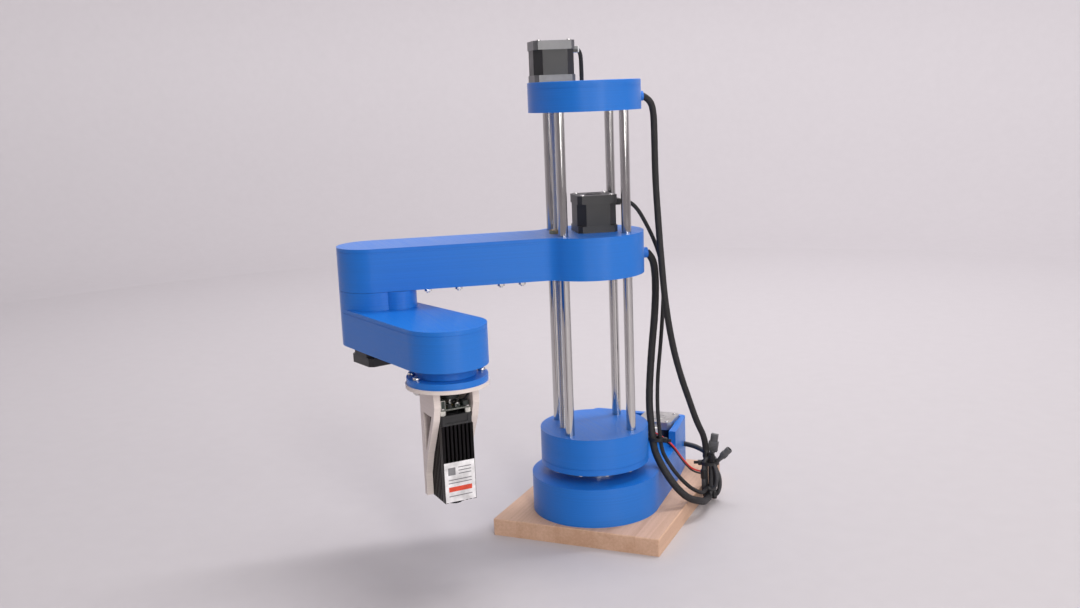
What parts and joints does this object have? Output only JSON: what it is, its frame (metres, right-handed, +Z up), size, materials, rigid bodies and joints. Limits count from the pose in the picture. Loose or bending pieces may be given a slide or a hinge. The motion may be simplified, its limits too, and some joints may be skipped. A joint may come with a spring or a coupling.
{
  "type": "scara robot arm",
  "caption": "Tabletop SCARA robot arm: turning column with guide rods and lead screw, sliding two-link arm and a wrist that holds a small laser module, on a wooden board.",
  "frame": {"origin": "on the column's turning axis, at the underside of the wooden board", "axes": "+Z up along the column's axis, +Y towards the tail that holds the base motor, +X towards the side where the cables hang"},
  "size_m": [0.3572, 0.4124, 0.5216],
  "materials": {
    "blue_plastic": "satin layered plastic",
    "dark_plastic": "layered plastic",
    "white_plastic": "matt layered plastic",
    "beech": "oiled",
    "rod_steel": "ground and polished",
    "bearing_steel": "polished",
    "bolt_steel": "zinc plated",
    "motor_black": "satin black",
    "shaft_steel": "ground",
    "coupling_aluminium": "anodised",
    "nut_brass": "machined",
    "belt_rubber": "moulded",
    "black_aluminium": "black anodised",
    "black_plastic": "moulded",
    "circuit_board": "solder mask",
    "braided_sleeve": "braided",
    "wire_red": "wire insulation",
    "cable_grey": "matt jacket",
    "plug_grey": "moulded"
  },
  "bodies": {
    "base": {"mounting_board": "beech", "base_screws": "bolt_steel", "base_housing": "blue_plastic", "base_bearings": "bearing_steel", "j1_motor": "motor_black", "j1_belts": "belt_rubber", "arm_loom_lower": "braided_sleeve", "joint_2_lead_lower": "braided_sleeve", "motor_wires": "wire_red", "tail_lead": "cable_grey", "cable_hank": "cable_grey", "hank_plugs": "plug_grey"},
    "j1_motor_shaft": {"j1_motor_rotor": "shaft_steel"},
    "j1_middle_pulley": {"j1_mid_pulley": "dark_plastic"},
    "column": {"column_base_plate": "blue_plastic", "column_coupler": "dark_plastic", "column_base_bolts": "bolt_steel", "column_base_cup": "blue_plastic", "thrust_bearing": "bearing_steel", "rod_clamps": "dark_plastic", "guide_rods": "rod_steel", "screw_bearing": "bearing_steel", "top_plate_cup": "blue_plastic", "top_plate_cover": "blue_plastic", "z_motor": "motor_black", "z_motor_lead": "braided_sleeve", "top_loom": "braided_sleeve"},
    "screw": {"lead_screw": "rod_steel", "shaft_coupler": "coupling_aluminium", "z_motor_rotor": "shaft_steel"},
    "carriage": {"carriage_housing": "blue_plastic", "arm_1_housing": "blue_plastic", "arm_1_lid": "blue_plastic", "arm_1_bolts": "bolt_steel", "linear_bearings": "bearing_steel", "lead_nut": "nut_brass", "j2_motor": "motor_black", "j2_belts": "belt_rubber", "elbow_bearings": "bearing_steel", "arm_loom_upper": "braided_sleeve", "joint_2_lead_upper": "braided_sleeve"},
    "j2_motor_shaft": {"j2_motor_rotor": "shaft_steel"},
    "j2_middle_pulley": {"j2_mid_pulley": "dark_plastic"},
    "second_arm": {"arm_2_housing": "blue_plastic", "arm_2_lid": "blue_plastic", "elbow_coupler": "dark_plastic", "elbow_thrust_bearing": "bearing_steel", "j3_motor": "motor_black", "j3_belt": "belt_rubber", "wrist_bearings": "bearing_steel"},
    "j3_motor_shaft": {"j3_motor_rotor": "shaft_steel"},
    "tool": {"wrist_coupler": "dark_plastic", "tool_flange": "blue_plastic", "flange_bolts": "bolt_steel", "laser_bracket": "white_plastic", "laser_heatsink": "black_aluminium", "fan_frame": "black_plastic", "driver_board": "circuit_board"},
    "fan": {"fan_rotor": "black_plastic"},
    "lens": {"lens_ring": "black_aluminium"}
  },
  "joints": [
    {"name": "column_turn", "type": "hinge", "parent": "base", "child": "column", "pos_m": [0, 0, 0.066], "axis": [0, 0, 1], "range_deg": [-38, 90], "deforming": ["top_loom", "arm_loom_lower", "joint_2_lead_lower"]},
    {"name": "carriage_slide", "type": "slide", "parent": "column", "child": "carriage", "axis": [0, 0, 1], "range_m": [-0.065, 0.07], "deforming": ["arm_loom_upper", "joint_2_lead_upper"]},
    {"name": "elbow_turn", "type": "hinge", "parent": "carriage", "child": "second_arm", "pos_m": [-0.18902, -0.1275, 0.274], "axis": [0, 0, 1], "range_deg": [-265, 34]},
    {"name": "wrist_turn", "type": "hinge", "parent": "second_arm", "child": "tool", "pos_m": [-0.07141, -0.19678, 0.217], "axis": [0, 0, 1], "range_deg": [-160, 160]},
    {"name": "screw_turn", "type": "hinge", "parent": "column", "child": "screw", "pos_m": [-0.02786, -0.01879, 0.3], "axis": [0, 0, 1], "range_deg": [-2925.5, 3150.5]},
    {"name": "j1_motor_turn", "type": "hinge", "parent": "base", "child": "j1_motor_shaft", "pos_m": [0.032, 0.131, 0.04], "axis": [0, 0, 1], "range_deg": [-752.8, 1782.26]},
    {"name": "j1_middle_turn", "type": "hinge", "parent": "base", "child": "j1_middle_pulley", "pos_m": [-0.012, 0.08, 0.034], "axis": [0, 0, 1], "range_deg": [-189.31, 447.69]},
    {"name": "j2_motor_turn", "type": "hinge", "parent": "carriage", "child": "j2_motor_shaft", "pos_m": [0.00437, 0.00657, 0.32], "axis": [0, 0, 1], "range_deg": [-4207.44, 540.26]},
    {"name": "j2_middle_turn", "type": "hinge", "parent": "carriage", "child": "j2_middle_pulley", "pos_m": [-0.09285, -0.06263, 0.302], "axis": [0, 0, 1], "range_deg": [-1056.36, 135.97]},
    {"name": "j3_motor_turn", "type": "hinge", "parent": "second_arm", "child": "j3_motor_shaft", "pos_m": [-0.18902, -0.1275, 0.235], "axis": [0, 0, 1], "range_deg": [-638, 638]},
    {"name": "fan_spin", "type": "hinge", "parent": "tool", "child": "fan", "pos_m": [-0.06988, -0.19806, 0.17], "axis": [0, 0, 1], "continuous": true},
    {"name": "lens_turn", "type": "hinge", "parent": "tool", "child": "lens", "pos_m": [-0.06988, -0.19806, 0.095], "axis": [0, 0, 1], "range_deg": [-170, 170]}
  ],
  "couplings": [
    {"joint": "screw_turn", "follows": "carriage_slide", "rad_per_m": 785.4},
    {"joint": "j1_motor_turn", "follows": "column_turn", "ratio": 19.797},
    {"joint": "j1_middle_turn", "follows": "column_turn", "ratio": 4.9688},
    {"joint": "j2_motor_turn", "follows": "elbow_turn", "ratio": 15.875},
    {"joint": "j2_middle_turn", "follows": "elbow_turn", "ratio": 3.9844},
    {"joint": "j3_motor_turn", "follows": "wrist_turn", "ratio": 3.9844}
  ]
}
